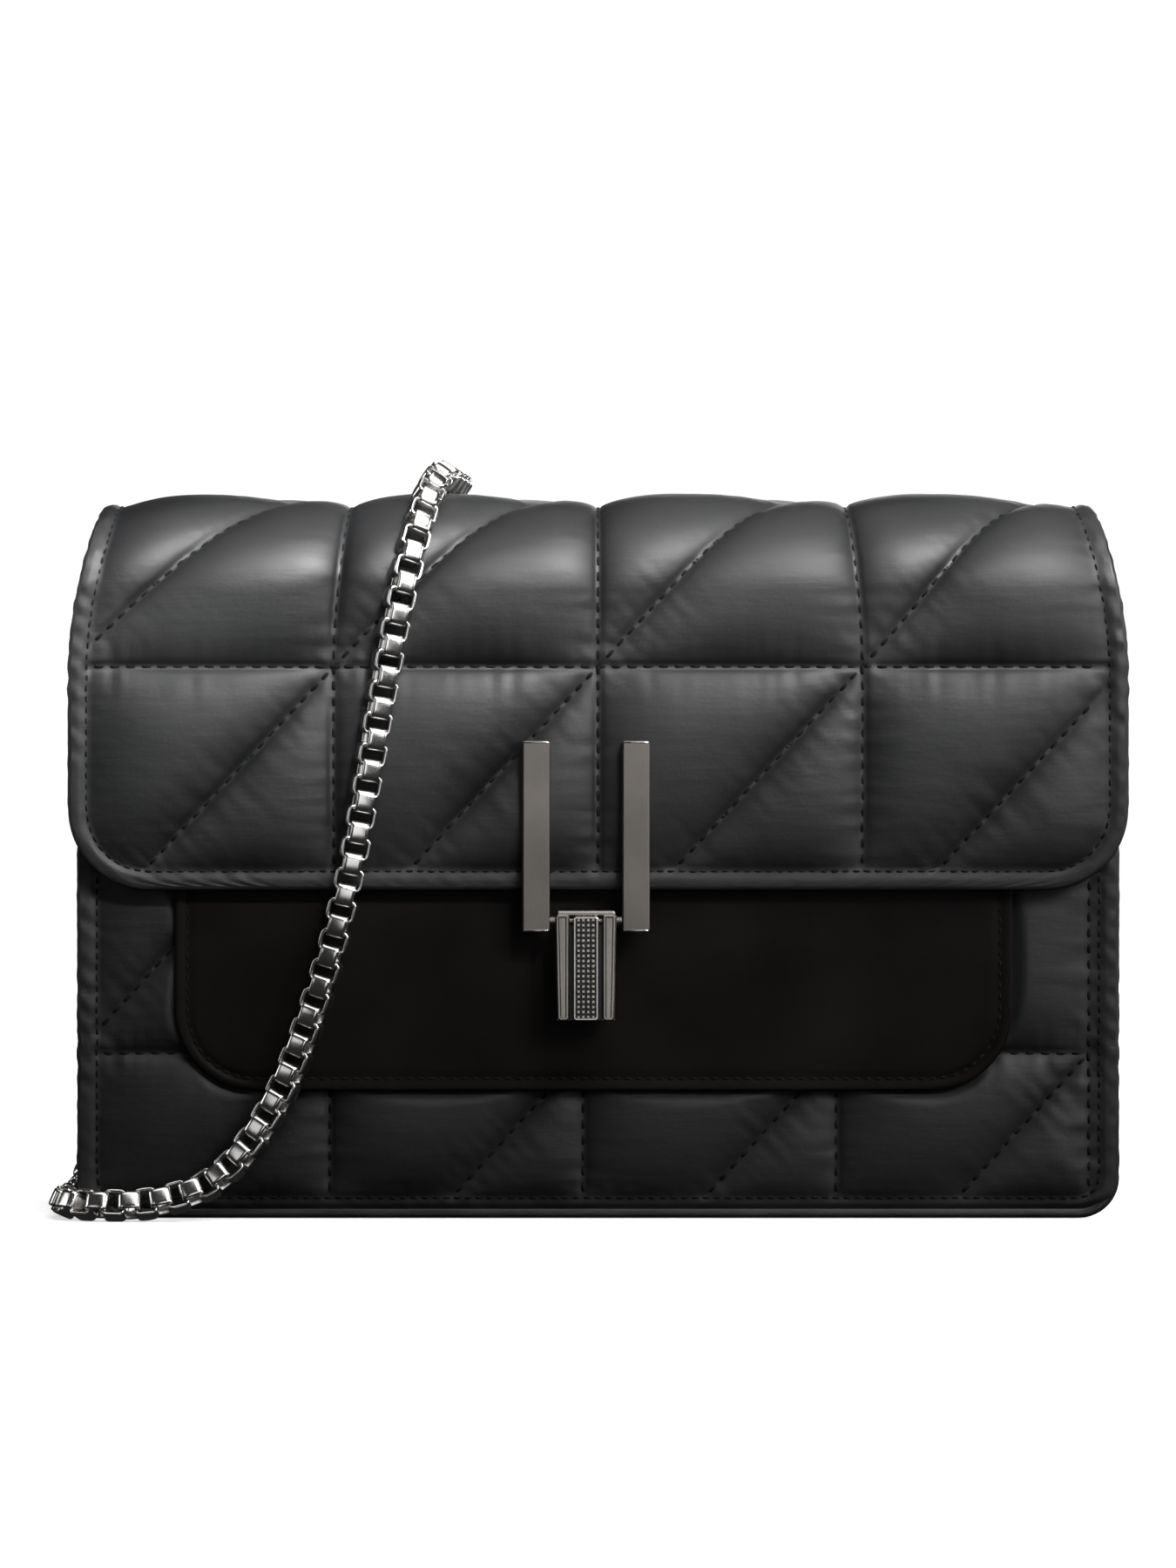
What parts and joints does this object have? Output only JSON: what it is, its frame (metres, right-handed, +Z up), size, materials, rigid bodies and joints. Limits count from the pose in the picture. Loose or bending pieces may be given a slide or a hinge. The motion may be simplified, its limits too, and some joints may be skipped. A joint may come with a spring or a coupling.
{
  "type": "quilted crossbody bag",
  "caption": "Small box-shaped padded handbag with a quilted flap, a lift latch between two long metal bars, and a box-chain strap on snap hooks.",
  "frame": {"origin": "centre of the base, on the surface that the bag stands on", "axes": "+X to the right as seen from the front, along the width; the front and its lock look along -Y; +Z up"},
  "size_m": [0.2138, 0.1459, 0.1511],
  "materials": {
    "quilt": "soft semi-gloss, padded and stitched in squares with one diagonal each",
    "smooth_leather": "smooth semi-gloss",
    "edge": "turned edge with a glossy painted rim",
    "lining_cloth": "matt woven cloth",
    "board": "matt bag board",
    "lock_metal": "gunmetal plate, brushed along its length",
    "lock_grip": "gunmetal plate with a cut square grid",
    "hardware": "polished gunmetal plate",
    "magnet": "nickel plate",
    "chain": "polished gunmetal plate"
  },
  "bodies": {
    "bag": {"front_panel": "quilt", "front_board": "board", "back_panel": "quilt", "back_board": "board", "front_binding": "edge", "back_binding": "edge", "gusset_strip": "smooth_leather", "base_board": "board", "lining": "lining_cloth", "slip_pocket": "lining_cloth", "back_fold_roll": "quilt", "lock_panel": "smooth_leather", "lock_base": "lock_metal", "lock_base_magnet": "magnet", "lock_backing_plate": "hardware", "lock_base_screws": "hardware", "ring_tab_left": "smooth_leather", "ring_tab_right": "smooth_leather", "tab_rivets": "hardware", "chain_left": "chain", "chain_right": "chain"},
    "flap_top": {"flap_top_quilt": "quilt", "flap_top_lining": "lining_cloth", "front_fold_roll": "quilt"},
    "flap_front": {"flap_front_quilt": "quilt", "flap_board": "board", "flap_front_lining": "lining_cloth", "flap_binding": "edge", "lock_bar_left": "lock_metal", "lock_bar_right": "lock_metal", "lock_bar_screws": "hardware", "latch_pin": "lock_metal"},
    "latch": {"latch_frame": "lock_metal", "latch_insert": "lock_grip", "latch_magnet": "magnet"},
    "strap_loop": {"chain_loop": "chain"},
    "ring_left": {"d_ring_left": "hardware", "hook_left": "hardware", "hook_gate_pin_left": "hardware"},
    "gate_left": {"hook_gate_left": "hardware"},
    "swivel_left": {"swivel_eye_left": "hardware", "jump_ring_left": "hardware"},
    "ring_right": {"d_ring_right": "hardware", "hook_right": "hardware", "hook_gate_pin_right": "hardware"},
    "gate_right": {"hook_gate_right": "hardware"},
    "swivel_right": {"swivel_eye_right": "hardware", "jump_ring_right": "hardware"}
  },
  "joints": [
    {"name": "flap_open", "type": "hinge", "parent": "bag", "child": "flap_top", "pos_m": [0, 0.0276, 0.1396], "axis": [-1, 0, 0], "range_deg": [0, 150], "deforming": ["chain_loop"]},
    {"name": "flap_front_unfold", "type": "hinge", "parent": "flap_top", "child": "flap_front", "pos_m": [0, -0.03043, 0.13503], "axis": [-1, 0, 0], "range_deg": [0, 46]},
    {"name": "strap_lift", "type": "hinge", "parent": "bag", "child": "strap_loop", "pos_m": [-0.10545, 0, 0.0032], "axis": [0, -1, 0], "range_deg": [0, 115], "deforming": ["chain_loop"]},
    {"name": "latch_lift", "type": "hinge", "parent": "flap_front", "child": "latch", "pos_m": [-0.0024, -0.0396, 0.059], "axis": [-1, 0, 0], "range_deg": [0, 100]},
    {"name": "ring_swing_left", "type": "hinge", "parent": "bag", "child": "ring_left", "pos_m": [-0.0994, 0, 0.1145], "axis": [0, 1, 0], "range_deg": [0, 18], "deforming": ["chain_left"]},
    {"name": "gate_press_left", "type": "hinge", "parent": "ring_left", "child": "gate_left", "pos_m": [-0.10155, 0, 0.0942], "axis": [0, 1, 0], "range_deg": [0, 14], "stiffness_Nm_per_rad": 0.002, "springref_deg": -8.59},
    {"name": "swivel_turn_left", "type": "hinge", "parent": "ring_left", "child": "swivel_left", "pos_m": [-0.09955, 0, 0.0886], "axis": [0, 0, 1], "range_deg": [-35, 35]},
    {"name": "ring_swing_right", "type": "hinge", "parent": "bag", "child": "ring_right", "pos_m": [0.0994, 0, 0.1145], "axis": [0, -1, 0], "range_deg": [0, 18], "deforming": ["chain_right"]},
    {"name": "gate_press_right", "type": "hinge", "parent": "ring_right", "child": "gate_right", "pos_m": [0.10155, 0, 0.0942], "axis": [0, -1, 0], "range_deg": [0, 14], "stiffness_Nm_per_rad": 0.002, "springref_deg": -8.59},
    {"name": "swivel_turn_right", "type": "hinge", "parent": "ring_right", "child": "swivel_right", "pos_m": [0.09955, 0, 0.0886], "axis": [0, 0, 1], "range_deg": [-35, 35]}
  ],
  "couplings": [
    {"joint": "flap_front_unfold", "follows": "flap_open", "ratio": 0.3},
    {"joint": "strap_lift", "follows": "flap_open", "ratio": 0.76}
  ]
}
